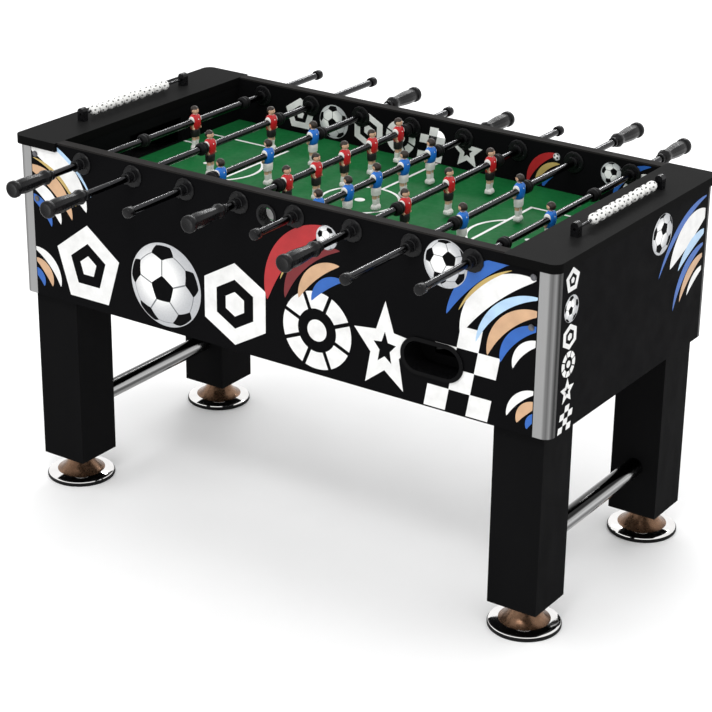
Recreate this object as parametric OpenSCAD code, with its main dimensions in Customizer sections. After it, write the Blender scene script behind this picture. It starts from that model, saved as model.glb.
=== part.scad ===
// Table football (foosball) table with eight sliding and turning rods.
// Frame: origin on the floor under the middle of the table, +Z up,
// +X along the table. -Y is the front, whose return cup is toward +X.
// Every sub-part is a separate solid in its own node. Units are millimetres.

/* [Cabinet] */
// length over the two end top boards
top_l = 1426; // [1200:2:1600]
// width over the two end top boards
top_w = 716; // [600:2:800]
// height of the top boards' upper face above the floor
top_z = 868; // [760:2:920]
// thickness of the end top boards
board_t = 20; // [12:1:30]
// width of each end top board, along the table
board_w = 125; // [80:1:180]
// rounding of the top boards' outer corners
board_r = 22; // [5:1:50]
// length of the cabinet under the boards
cab_l = 1414; // [1180:2:1600]
// width of the cabinet under the boards
cab_w = 700; // [580:2:800]
// height of the cabinet's lower edge above the floor
cab_z = 486; // [400:2:560]
// thickness of the cabinet panels
wall = 25; // [15:1:30]
// outer radius of the rounded corner profiles
corner_r = 21; // [15:1:24]
// width of the corner profiles' flat flange on the long panels
flange_w = 18; // [10:1:30]
// thickness of the corner profiles
profile_t = 3; // [2:0.5:5]

/* [Playing area] */
// height of the playing surface
field_z = 758; // [680:1:800]
// thickness of the playing surface
field_t = 6; // [4:0.5:12]
// distance from the middle to each goal wall
field_half = 590; // [500:1:680]
// width of the goal mouth
goal_w = 190; // [140:2:220]
// height of the goal mouth
goal_h = 62; // [50:1:80]
// height of the ball entry hole's centre
entry_z = 820; // [790:1:830]
// inner radius of the ball entry cup
entry_r = 20; // [18:0.5:24]

/* [Legs] */
// side of each square leg
leg_a = 120; // [80:1:140]
// distance from the middle to the legs' outer faces, along the table
leg_x = 687; // [600:1:700]
// distance from the middle to the legs' outer faces, across the table
leg_y = 332; // [260:1:340]
// height of the legs' lower faces
leg_z = 63; // [40:1:90]
// radius of the tube that joins the legs of one end
tube_r = 22; // [15:1:30]
// height of that tube's axis
tube_z = 181; // [120:1:300]
// radius of a levelling foot
foot_r = 81; // [40:1:90]

/* [Rods] */
// height of the rods' axes
rod_z = 834; // [780:1:850]
// distance from one rod to the next
rod_pitch = 147; // [143:1:160]
// radius of a rod
rod_r = 7.94; // [6:0.01:8]
// bore radius of the bearings and bumpers
bearing_bore = 8.0; // [7.98:0.01:8.05]
// radius of the bearing flanges
flange_r = 26; // [18:1:28]
// length of a handle with its collar
handle_l = 128; // [90:1:150]

/* [Men] */
// distance from the rod's axis down to the sole
man_foot = 69.5; // [60:0.5:70]
// distance from the rod's axis up to the top of the head
man_head = 38; // [30:0.5:42]

/* [Scorers] */
// length of one score bead
bead_l = 28; // [15:1:32]
// radius of one score bead
bead_r = 12; // [8:0.5:13]
// distance from the middle to each score post, across the table
post_y = 185; // [120:1:200]
// distance from the middle to the score rod, along the table
score_x = 655; // [620:1:690]

/* [Hidden] */
$fn = 64;
board_in = top_l / 2 - board_w;
under_board = top_z - board_t;
rail_t = 4;
inner_y = cab_w / 2 - wall;
panel_x = cab_l / 2 - corner_r;
panel_y = cab_w / 2 - corner_r;
end_x = cab_l / 2 - wall;
goal_wall_t = 12;
chute_low = 690;
// bearing: flange, outer hub and inner hub
flange_t = 5;
hub_out = 22;
hub_in = 8;
hub_r = 12;
bearing_out = cab_w / 2 + flange_t + hub_out;
bearing_in = inner_y - flange_t - hub_in;
// bumper beside each outer man, or far from the goalkeeper
bumper_l = 25;
bumper_gap = 17;
goalie_bumper = 178;
cap_l = 20;
// per rod: number of men, distance between them, shift across the table at rest,
// and +1 when the men face +X and the handle is on the -Y side
rods = [
  [1, 0, 54, 1],
  [2, 236, 42, 1],
  [3, 176, -50, -1],
  [5, 111, 44, 1],
  [5, 111, -44, -1],
  [3, 176, 24, 1],
  [2, 236, -38, -1],
  [1, 0, -40, -1]
];
// return cup
cup_x = 424;
cup_z = 595;
cup_r = 36;
cup_half = 35;
cup_depth = 62;
chute_y = cab_w / 2 - cup_depth;
chute_w = 60;
score_z = top_z + 16;
// half the thickness of a score post, and the beads' distance from their post at rest
post_t = 8;
bead_gap = 20;
leg_cx = leg_x - leg_a / 2;
leg_cy = leg_y - leg_a / 2;

function rod_x(i) = (i - 4.5) * rod_pitch;
function men_count(i) = rods[i - 1][0];
function men_pitch(i) = rods[i - 1][1];
function rest_y(i) = rods[i - 1][2];
function facing(i) = rods[i - 1][3];
function half_span(i) = (men_count(i) - 1) * men_pitch(i) / 2;
function bumper_from(i) = men_count(i) == 1 ? goalie_bumper : half_span(i) + bumper_gap;
function travel(i) = bearing_in - bumper_from(i) - bumper_l;
function handle_from(i) = bearing_out + travel(i) + 18;
function cap_from(i) = bearing_out + travel(i) + 8;

// a box given by its two corners
module box(lo, hi) {
  translate(lo)
    cube([hi[0] - lo[0], hi[1] - lo[1], hi[2] - lo[2]]);
}

// a cylinder along +Y from y0 to y1
module y_rod(r, y0, y1) {
  translate([0, y0, 0])
    rotate([-90, 0, 0])
      cylinder(r = r, h = y1 - y0);
}

// the stadium outline of the ball return, extruded along Y from y0 to y1
module y_stadium(r, y0, y1) {
  translate([0, y1, 0])
    rotate([90, 0, 0])
      linear_extrude(y1 - y0)
        union() {
          square([2 * cup_half, 2 * r], center = true);
          translate([cup_half, 0])
            circle(r = r);
          translate([-cup_half, 0])
            circle(r = r);
        }
}

// holes that every long panel needs, for rods, ball entry and bolts
module panel_holes() {
  for (i = [1:8])
    translate([rod_x(i), 0, rod_z])
      y_rod(11, -cab_w, 0);
  translate([0, 0, entry_z])
    y_rod(entry_r + 2.5, -cab_w, 0);
  for (x = [-655, 655])
    for (z = [723, 830])
      translate([x, 0, z])
        y_rod(3, -cab_w / 2 - 1, -cab_w / 2 + 15);
}

module long_panel() {
  color([0.09, 0.09, 0.1])
    difference() {
      union() {
        box([-panel_x, -cab_w / 2, cab_z], [panel_x, -inner_y, under_board]);
        box([-board_in, -cab_w / 2, under_board - 1], [board_in, -inner_y, top_z - rail_t]);
      }
      panel_holes();
      translate([cup_x, 0, cup_z])
        y_stadium(cup_r, -cab_w, 0);
      for (side = [-1, 1])
        translate([side * panel_x, 0, 0])
          box([-flange_w, -cab_w / 2 - 1, cab_z - 1], [flange_w, -cab_w / 2 + profile_t, under_board]);
    }
}

module front_panel() {
  long_panel();
}

module back_panel() {
  rotate([0, 0, 180])
    long_panel();
}

module end_panel() {
  color([0.07, 0.07, 0.08])
    box([end_x, -inner_y, cab_z], [cab_l / 2, inner_y, under_board]);
}

module right_end_panel() {
  end_panel();
}

module left_end_panel() {
  rotate([0, 0, 180])
    end_panel();
}

module goal_wall() {
  color([0.05, 0.05, 0.06])
    difference() {
      box([field_half, -inner_y, chute_low], [field_half + goal_wall_t, inner_y, under_board]);
      box([field_half - 1, -goal_w / 2, field_z],
        [field_half + goal_wall_t + 1, goal_w / 2, field_z + goal_h]);
      box([field_half - 1, -chute_y, chute_low - 1],
        [field_half + goal_wall_t + 1, -chute_y + chute_w, chute_low + 60]);
    }
}

module right_goal_wall() {
  goal_wall();
}

module left_goal_wall() {
  rotate([0, 0, 180])
    goal_wall();
}

module playfield() {
  color([0.17, 0.52, 0.29])
    box([-field_half, -inner_y, field_z - field_t], [field_half, inner_y, field_z]);
}

module cabinet_floor() {
  color([0.1, 0.1, 0.11])
    box([-end_x, -inner_y, cab_z], [end_x, inner_y, cab_z + 12]);
}

module top_board() {
  color([0.22, 0.22, 0.23])
    translate([0, 0, under_board])
      linear_extrude(board_t)
        union() {
          translate([board_in, -top_w / 2])
            square([board_w - board_r, top_w]);
          translate([board_in, -top_w / 2 + board_r])
            square([board_w, top_w - 2 * board_r]);
          translate([top_l / 2 - board_r, top_w / 2 - board_r])
            circle(r = board_r);
          translate([top_l / 2 - board_r, -top_w / 2 + board_r])
            circle(r = board_r);
        }
}

module right_top_board() {
  top_board();
}

module left_top_board() {
  rotate([0, 0, 180])
    top_board();
}

module side_top_rails() {
  color([0.25, 0.24, 0.24])
    for (a = [0, 180])
      rotate([0, 0, a])
        box([-board_in, inner_y, top_z - rail_t], [board_in, cab_w / 2, top_z]);
}

// corner extrusion: a hollow quarter-round with a flange let into the long panel,
// and a foot that closes the joint beside the end panel
module corner_profile() {
  translate([panel_x, panel_y, cab_z])
    linear_extrude(under_board - cab_z)
      union() {
        intersection() {
          difference() {
            circle(r = corner_r);
            circle(r = corner_r - profile_t);
          }
          square([corner_r + 1, corner_r + 1]);
        }
        translate([-flange_w, corner_r - profile_t])
          square([flange_w + 1, profile_t]);
        square([profile_t, corner_r - 1]);
        translate([0, inner_y - panel_y])
          square([corner_r, panel_y - inner_y + profile_t]);
      }
}

module corner_profiles() {
  color([0.6, 0.6, 0.6]) {
    corner_profile();
    mirror([1, 0, 0])
      corner_profile();
    mirror([0, 1, 0])
      corner_profile();
    rotate([0, 0, 180])
      corner_profile();
  }
}

// box leg, open at the top, with an insert hole for the foot's stem
module leg() {
  difference() {
    box([leg_x - leg_a, leg_y - leg_a, leg_z], [leg_x, leg_y, cab_z]);
    box([leg_x - leg_a + 12, leg_y - leg_a + 12, leg_z + 30], [leg_x - 12, leg_y - 12, cab_z + 1]);
    translate([leg_cx, leg_cy, leg_z - 1])
      cylinder(r = 5.05, h = 40);
    translate([leg_cx, leg_y - leg_a + 6, tube_z])
      y_rod(tube_r - 4, -20, 10);
  }
}

module legs() {
  color([0.09, 0.09, 0.1]) {
    leg();
    mirror([1, 0, 0])
      leg();
    mirror([0, 1, 0])
      leg();
    rotate([0, 0, 180])
      leg();
  }
}

module leg_tubes() {
  color([0.75, 0.72, 0.7])
    for (x = [-leg_cx, leg_cx])
      translate([x, 0, tube_z])
        difference() {
          y_rod(tube_r, -leg_y + leg_a, leg_y - leg_a);
          y_rod(tube_r - 2, -leg_y, leg_y);
        }
}

// one bearing: both flanges, the sleeve through the wall and both hubs
module bearing() {
  difference() {
    union() {
      y_rod(10.9, -cab_w / 2 - 1, -inner_y + 1);
      y_rod(flange_r, -cab_w / 2 - flange_t, -cab_w / 2);
      y_rod(hub_r, -bearing_out, -cab_w / 2 - 1);
      y_rod(flange_r, -inner_y, -inner_y + flange_t);
      y_rod(hub_r + 2, -inner_y + 1, -bearing_in);
    }
    y_rod(bearing_bore, -cab_w, 0);
  }
}

module rod_bearings() {
  color([0.05, 0.05, 0.05])
    for (i = [1:8])
      for (a = [0, 180])
        translate([rod_x(i), 0, rod_z])
          rotate([0, 0, a])
            bearing();
}

module entry_cup() {
  translate([0, 0, entry_z])
    difference() {
      union() {
        y_rod(entry_r + 2.5, -cab_w / 2 - 1, -inner_y);
        y_rod(entry_r + 6, -cab_w / 2 - 3, -cab_w / 2);
      }
      y_rod(entry_r, -cab_w, 0);
    }
}

module ball_entry_cups() {
  color([0.05, 0.05, 0.05]) {
    entry_cup();
    rotate([0, 0, 180])
      entry_cup();
  }
}

// recessed oval cup with a window at its back for the ball to roll in
module return_cup() {
  translate([cup_x, 0, cup_z])
    difference() {
      union() {
        y_stadium(cup_r, -cab_w / 2 - 1, -chute_y);
        y_stadium(cup_r + 6, -cab_w / 2 - 4, -cab_w / 2);
      }
      y_stadium(cup_r - 3, -cab_w, -chute_y - 3);
      box([-30, -chute_y - 4, -12], [30, -chute_y + 1, 32]);
    }
}

module ball_return_cups() {
  color([0.04, 0.04, 0.04]) {
    return_cup();
    rotate([0, 0, 180])
      return_cup();
  }
}

// sloping floor behind the goal, then a sloping channel to the return cup
module ball_chute() {
  color([0.12, 0.12, 0.12])
    union() {
      translate([field_half + goal_wall_t, 0, 0])
        rotate([90, 0, 90])
          linear_extrude(end_x - field_half - goal_wall_t)
            polygon([[-chute_y + chute_w - 2, 722], [-chute_y + chute_w - 2, 716],
              [105, 746], [105, 752]]);
      difference() {
        translate([0, -chute_y + chute_w, 0])
          rotate([90, 0, 0])
            linear_extrude(chute_w)
              polygon([[end_x, 700], [end_x, 742], [field_half + 5, 742], [cup_x - 40, 640],
                [cup_x - 40, 584], [end_x, 696 - 10]]);
        translate([0, -chute_y + chute_w - 3, 0])
          rotate([90, 0, 0])
            linear_extrude(chute_w - 6)
              polygon([[end_x + 1, 692], [end_x + 1, 760], [field_half, 760], [cup_x - 37, 660],
                [cup_x - 37, 590]]);
        box([cup_x - 30, -chute_y - 1, cup_z - 12], [cup_x + 30, -chute_y + 4, cup_z + 32]);
      }
    }
}

module right_ball_chute() {
  ball_chute();
}

module left_ball_chute() {
  rotate([0, 0, 180])
    ball_chute();
}

module score_posts() {
  color([0.04, 0.04, 0.04])
    for (x = [-score_x, score_x])
      for (y = [-post_y, post_y])
        translate([x, y, top_z])
          difference() {
            union() {
              box([-9, -post_t, 0], [9, post_t, 22]);
              translate([0, 0, 22])
                y_rod(9, -post_t, post_t);
            }
            translate([0, 0, score_z - top_z])
              y_rod(3, -20, 20);
          }
}

module score_rods() {
  color([0.7, 0.7, 0.7])
    for (x = [-score_x, score_x])
      translate([x, 0, score_z])
        y_rod(3, -post_y - post_t + 1, post_y + post_t - 1);
}

// ten beads with their first face at y0
module beads(x, y0) {
  color([0.95, 0.95, 0.93])
    for (k = [0:9])
      translate([x, y0 + k * (bead_l + 0.2), score_z])
        difference() {
          union() {
            y_rod(bead_r - 2.5, 0, bead_l);
            y_rod(bead_r, 3, bead_l - 3);
          }
          y_rod(3.3, -1, bead_l + 1);
        }
}

module left_score_beads() {
  beads(-score_x, -post_y + post_t + bead_gap);
}

module right_score_beads() {
  beads(score_x, post_y - post_t - bead_gap - 9 * (bead_l + 0.2) - bead_l);
}

module panel_bolts() {
  color([0.5, 0.5, 0.5])
    for (a = [0, 180])
      rotate([0, 0, a])
        for (x = [-655, 655])
          for (z = [723, 830])
            translate([x, 0, z])
              union() {
                y_rod(3, -cab_w / 2 - 1, -cab_w / 2 + 14);
                y_rod(7, -cab_w / 2 - 2, -cab_w / 2);
                y_rod(5, -cab_w / 2 - 3, -cab_w / 2 - 1);
              }
}

// levelling foot: rubber pad, flat chromed bell and screw stem
module foot(sx, sy) {
  color([0.7, 0.65, 0.6])
    translate([sx * leg_cx, sy * leg_cy, 0]) {
      cylinder(r = foot_r, h = 8);
      rotate_extrude()
        polygon([[0, 8], [foot_r - 2, 8], [foot_r - 2, 11], [58, 17], [40, 28], [26, 44],
          [20, 58], [12, 58], [12, leg_z - 0.5], [5, leg_z - 0.5], [5, leg_z + 28], [0, leg_z + 28]]);
    }
}

module foot_front_left() {
  foot(-1, -1);
}

module foot_front_right() {
  foot(1, -1);
}

module foot_back_left() {
  foot(-1, 1);
}

module foot_back_right() {
  foot(1, 1);
}

// places a rod's pieces: the men's middle at the rest shift, handle toward local -Y
module on_rod(i) {
  translate([rod_x(i), rest_y(i), rod_z])
    rotate([0, 0, facing(i) > 0 ? 0 : 180])
      children();
}

module rod(i) {
  color([0.85, 0.85, 0.87])
    on_rod(i)
      y_rod(rod_r, -handle_from(i) - handle_l + 6, cap_from(i) + cap_l - 5);
}

// grip with collar at one end of the rod, and the end cap at the other
module handle(i) {
  color([0.07, 0.07, 0.08])
    on_rod(i) {
      difference() {
        translate([0, -handle_from(i), 0])
          rotate([90, 0, 0])
            rotate_extrude()
              polygon([[0, 0], [11, 0], [11, 10], [13.5, 12], [15.5, 30], [17, 60], [16, 95],
                [15, 112], [18.5, 118], [18.5, 126], [17, 128], [0, 128]]);
        y_rod(rod_r, -handle_from(i) - handle_l + 6, 0);
      }
      difference() {
        y_rod(12, cap_from(i), cap_from(i) + cap_l);
        y_rod(rod_r, 0, cap_from(i) + cap_l - 5);
      }
    }
}

// one playing figure: torso, head, legs and boot block around the rod
module man() {
  difference() {
    union() {
      y_rod(11.5, -15, 15);
      box([-8.5, -16, -24], [8.5, 16, 16]);
      translate([0, 0, 15])
        cylinder(r = 5.5, h = 8);
      translate([0, 0, man_head - 11])
        sphere(r = 11);
      box([-7.5, -11, -58], [7.5, 11, -23]);
      box([-9, -12, -man_foot], [9, 12, -56]);
    }
    y_rod(rod_r, -30, 30);
  }
}

module men(i) {
  color(facing(i) > 0 ? [0.75, 0.08, 0.1] : [0.08, 0.4, 0.75])
    on_rod(i)
      for (k = [0:men_count(i) - 1])
        translate([0, k * men_pitch(i) - half_span(i), 0])
          man();
}

module bumper(y0) {
  translate([0, y0, 0])
    difference() {
      union() {
        y_rod(13, 0, bumper_l);
        y_rod(15, 5, bumper_l - 5);
      }
      y_rod(bearing_bore, -1, bumper_l + 1);
    }
}

module bumpers(i) {
  color([0.04, 0.04, 0.04])
    on_rod(i) {
      bumper(bumper_from(i));
      bumper(-bumper_from(i) - bumper_l);
    }
}

module rod_1() {
  rod(1);
}

module handle_1() {
  handle(1);
}

module men_1() {
  men(1);
}

module bumpers_1() {
  bumpers(1);
}

module rod_2() {
  rod(2);
}

module handle_2() {
  handle(2);
}

module men_2() {
  men(2);
}

module bumpers_2() {
  bumpers(2);
}

module rod_3() {
  rod(3);
}

module handle_3() {
  handle(3);
}

module men_3() {
  men(3);
}

module bumpers_3() {
  bumpers(3);
}

module rod_4() {
  rod(4);
}

module handle_4() {
  handle(4);
}

module men_4() {
  men(4);
}

module bumpers_4() {
  bumpers(4);
}

module rod_5() {
  rod(5);
}

module handle_5() {
  handle(5);
}

module men_5() {
  men(5);
}

module bumpers_5() {
  bumpers(5);
}

module rod_6() {
  rod(6);
}

module handle_6() {
  handle(6);
}

module men_6() {
  men(6);
}

module bumpers_6() {
  bumpers(6);
}

module rod_7() {
  rod(7);
}

module handle_7() {
  handle(7);
}

module men_7() {
  men(7);
}

module bumpers_7() {
  bumpers(7);
}

module rod_8() {
  rod(8);
}

module handle_8() {
  handle(8);
}

module men_8() {
  men(8);
}

module bumpers_8() {
  bumpers(8);
}

front_panel();
back_panel();
left_end_panel();
right_end_panel();
left_goal_wall();
right_goal_wall();
playfield();
cabinet_floor();
left_top_board();
right_top_board();
side_top_rails();
corner_profiles();
legs();
leg_tubes();
rod_bearings();
ball_entry_cups();
ball_return_cups();
left_ball_chute();
right_ball_chute();
score_posts();
score_rods();
panel_bolts();
foot_front_left();
foot_front_right();
foot_back_left();
foot_back_right();
left_score_beads();
right_score_beads();
rod_1();
handle_1();
men_1();
bumpers_1();
rod_2();
handle_2();
men_2();
bumpers_2();
rod_3();
handle_3();
men_3();
bumpers_3();
rod_4();
handle_4();
men_4();
bumpers_4();
rod_5();
handle_5();
men_5();
bumpers_5();
rod_6();
handle_6();
men_6();
bumpers_6();
rod_7();
handle_7();
men_7();
bumpers_7();
rod_8();
handle_8();
men_8();
bumpers_8();
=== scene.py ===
"""Looks of the foosball table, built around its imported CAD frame. Units are metres."""

import math

import bmesh
import bpy
from mathutils import Matrix, Vector
from mathutils.geometry import delaunay_2d_cdt


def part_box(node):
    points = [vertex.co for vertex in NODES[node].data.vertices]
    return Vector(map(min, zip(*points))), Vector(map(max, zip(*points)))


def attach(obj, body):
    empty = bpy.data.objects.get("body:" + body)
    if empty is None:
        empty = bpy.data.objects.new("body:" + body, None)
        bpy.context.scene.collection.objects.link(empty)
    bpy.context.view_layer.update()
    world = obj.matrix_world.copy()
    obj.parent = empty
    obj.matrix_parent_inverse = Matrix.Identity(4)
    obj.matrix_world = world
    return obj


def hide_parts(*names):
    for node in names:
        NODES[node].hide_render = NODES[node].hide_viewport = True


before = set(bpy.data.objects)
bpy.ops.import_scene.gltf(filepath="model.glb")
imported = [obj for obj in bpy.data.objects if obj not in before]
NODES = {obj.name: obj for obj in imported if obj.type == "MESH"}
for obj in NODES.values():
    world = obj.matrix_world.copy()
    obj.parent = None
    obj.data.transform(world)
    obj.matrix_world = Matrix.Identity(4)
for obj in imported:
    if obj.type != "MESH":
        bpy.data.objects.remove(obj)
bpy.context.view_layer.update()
SCENE = bpy.context.scene
MM = 0.001
ROWS = range(1, 9)
MEN_COUNT = {1: 1, 2: 2, 3: 3, 4: 5, 5: 5, 6: 3, 7: 2, 8: 1}
RED_ROWS = (1, 2, 4, 6)
HALF_TURN = Matrix.Rotation(math.pi, 4, "Z")


# ---------------------------------------------------------------- materials


def new_tree(name):
    """A material with an empty node tree, and a function that adds nodes to it."""
    mat = bpy.data.materials.new(name)
    mat.use_nodes = True
    tree = mat.node_tree
    tree.nodes.clear()
    out = tree.nodes.new("ShaderNodeOutputMaterial")
    shader = tree.nodes.new("ShaderNodeBsdfPrincipled")
    tree.links.new(shader.outputs["BSDF"], out.inputs["Surface"])
    return mat, tree, shader


def noise(tree, source, scale, detail=4.0, rough=0.55):
    node = tree.nodes.new("ShaderNodeTexNoise")
    node.inputs["Scale"].default_value = scale
    node.inputs["Detail"].default_value = detail
    node.inputs["Roughness"].default_value = rough
    tree.links.new(source, node.inputs["Vector"])
    return node.outputs["Fac"]


def spread(tree, source, low, high, start=0.3, end=0.7):
    """Maps a texture's middle range onto low..high."""
    node = tree.nodes.new("ShaderNodeMapRange")
    node.inputs["From Min"].default_value = start
    node.inputs["From Max"].default_value = end
    node.inputs["To Min"].default_value = low
    node.inputs["To Max"].default_value = high
    tree.links.new(source, node.inputs["Value"])
    return node.outputs["Result"]


def two_tone(tree, factor, first, second):
    node = tree.nodes.new("ShaderNodeMix")
    node.data_type = "RGBA"
    node.inputs["A"].default_value = (*first, 1)
    node.inputs["B"].default_value = (*second, 1)
    tree.links.new(factor, node.inputs["Factor"])
    return node.outputs["Result"]


def finish_material(name, light, dark, rough=(0.35, 0.5), metal=0.0, patch=6.0, stretch=(1, 1, 1),
                    grain=900.0, bump=0.15, specular=0.5, ior=1.5):
    """Mottled colour, uneven gloss and a fine grain, all from noise in the piece's own space."""
    mat, tree, shader = new_tree(name)
    coords = tree.nodes.new("ShaderNodeTexCoord")
    mapping = tree.nodes.new("ShaderNodeMapping")
    mapping.inputs["Scale"].default_value = stretch
    tree.links.new(coords.outputs["Object"], mapping.inputs["Vector"])
    space = mapping.outputs["Vector"]
    tone = spread(tree, noise(tree, space, patch, 6.0), 0.0, 1.0)
    tree.links.new(two_tone(tree, tone, light, dark), shader.inputs["Base Color"])
    gloss = spread(tree, noise(tree, space, patch * 5, 5.0), rough[0], rough[1])
    tree.links.new(gloss, shader.inputs["Roughness"])
    fine = noise(tree, space, grain, 3.0)
    lift = tree.nodes.new("ShaderNodeBump")
    lift.inputs["Strength"].default_value = bump
    lift.inputs["Distance"].default_value = 0.0004
    tree.links.new(fine, lift.inputs["Height"])
    tree.links.new(lift.outputs["Normal"], shader.inputs["Normal"])
    shader.inputs["Metallic"].default_value = metal
    shader.inputs["Specular IOR Level"].default_value = specular
    shader.inputs["IOR"].default_value = ior
    return mat


def painted_light_by_facing_material(name, axis, ramp, rough, metal, mottling, stretch, ior=1.5):
    """Colour painted by how far a face turns toward the piece's own axis, mottled by long thin noise: painted
    light, shade and reflection bands.
    """
    mat, tree, shader = new_tree(name)
    coords = tree.nodes.new("ShaderNodeTexCoord")
    split = tree.nodes.new("ShaderNodeSeparateXYZ")
    tree.links.new(coords.outputs["Normal"], split.inputs["Vector"])
    size = tree.nodes.new("ShaderNodeMath")
    size.operation = "ABSOLUTE"
    tree.links.new(split.outputs[axis], size.inputs[0])
    mapping = tree.nodes.new("ShaderNodeMapping")
    mapping.inputs["Scale"].default_value = stretch
    tree.links.new(coords.outputs["Object"], mapping.inputs["Vector"])
    grain = noise(tree, mapping.outputs["Vector"], 180.0, 5.0)
    share = tree.nodes.new("ShaderNodeMath")
    share.operation = "MULTIPLY"
    share.inputs[1].default_value = 1 - mottling
    tree.links.new(size.outputs["Value"], share.inputs[0])
    mixed = tree.nodes.new("ShaderNodeMath")
    mixed.operation = "MULTIPLY_ADD"
    mixed.inputs[1].default_value = mottling
    tree.links.new(grain, mixed.inputs[0])
    tree.links.new(share.outputs["Value"], mixed.inputs[2])
    # the ramp turns the facing into painted light and shade
    bands = tree.nodes.new("ShaderNodeValToRGB")
    stops = bands.color_ramp.elements
    while len(stops) < len(ramp):
        stops.new(0.5)
    for stop, (place, colour) in zip(stops, ramp):
        stop.position = place
        stop.color = (*colour, 1)
    tree.links.new(mixed.outputs["Value"], bands.inputs["Fac"])
    tree.links.new(bands.outputs["Color"], shader.inputs["Base Color"])
    gloss = spread(tree, grain, rough[0], rough[1])
    tree.links.new(gloss, shader.inputs["Roughness"])
    shader.inputs["Metallic"].default_value = metal
    shader.inputs["IOR"].default_value = ior
    return mat


def greys(*stops):
    """Ramp stops from (place, grey) pairs."""
    return [(place, (g, g, g)) for place, g in stops]


def ball_material(name):
    """White print that greys softly toward the lower right of each ball."""
    mat, tree, shader = new_tree(name)
    coords = tree.nodes.new("ShaderNodeTexCoord")
    mapping = tree.nodes.new("ShaderNodeMapping")
    mapping.inputs["Location"].default_value = (-0.76, -1.04, -0.5)
    mapping.inputs["Scale"].default_value = (1.9, 1.9, 1.0)
    tree.links.new(coords.outputs["Generated"], mapping.inputs["Vector"])
    ball = tree.nodes.new("ShaderNodeTexGradient")
    ball.gradient_type = "QUADRATIC_SPHERE"
    tree.links.new(mapping.outputs["Vector"], ball.inputs["Vector"])
    dots = noise(tree, coords.outputs["Object"], 260.0, 3.0)
    mixed = tree.nodes.new("ShaderNodeMath")
    mixed.operation = "MULTIPLY_ADD"
    mixed.inputs[1].default_value = 0.12
    tree.links.new(dots, mixed.inputs[0])
    tree.links.new(ball.outputs["Fac"], mixed.inputs[2])
    tone = spread(tree, mixed.outputs["Value"], 0.0, 1.0, 0.02, 0.4)
    shade = two_tone(tree, tone, (0.33, 0.34, 0.36), (0.86, 0.86, 0.85))
    tree.links.new(shade, shader.inputs["Base Color"])
    shader.inputs["Roughness"].default_value = 0.4
    return mat


def paint_material(name, colour, rough=0.36):
    """Glossy paint or print: its colour varies a little, with a light orange-peel."""
    darker = tuple(c * 0.82 for c in colour)
    return finish_material(name, colour, darker, (rough - 0.06, rough + 0.08),
                           patch=30.0, grain=700.0, bump=0.06, specular=0.3)


# how bright each of these is, from faces along the axis (0) to faces across it (1): painted light and shade
# by facing, with the board's edges painted darker than its top and bands of painted reflection on the profile
# and the tube
BOARD_PAINTED_SHADE_RAMP = greys((0.5, 0.004), (0.7, 0.008), (0.92, 0.0095), (0.96, 0.012))
PROFILE_PAINTED_REFLECTION_RAMP = greys((0.02, 0.3), (0.1, 0.36), (0.3, 0.17), (0.52, 0.12), (0.74, 0.24), (0.9, 0.05),
                     (1.0, 0.04))
TUBE_PAINTED_REFLECTION_RAMP = greys((0.0, 0.1), (0.12, 0.12), (0.3, 0.42), (0.56, 0.3), (0.66, 0.012), (1.0, 0.03))

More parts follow.
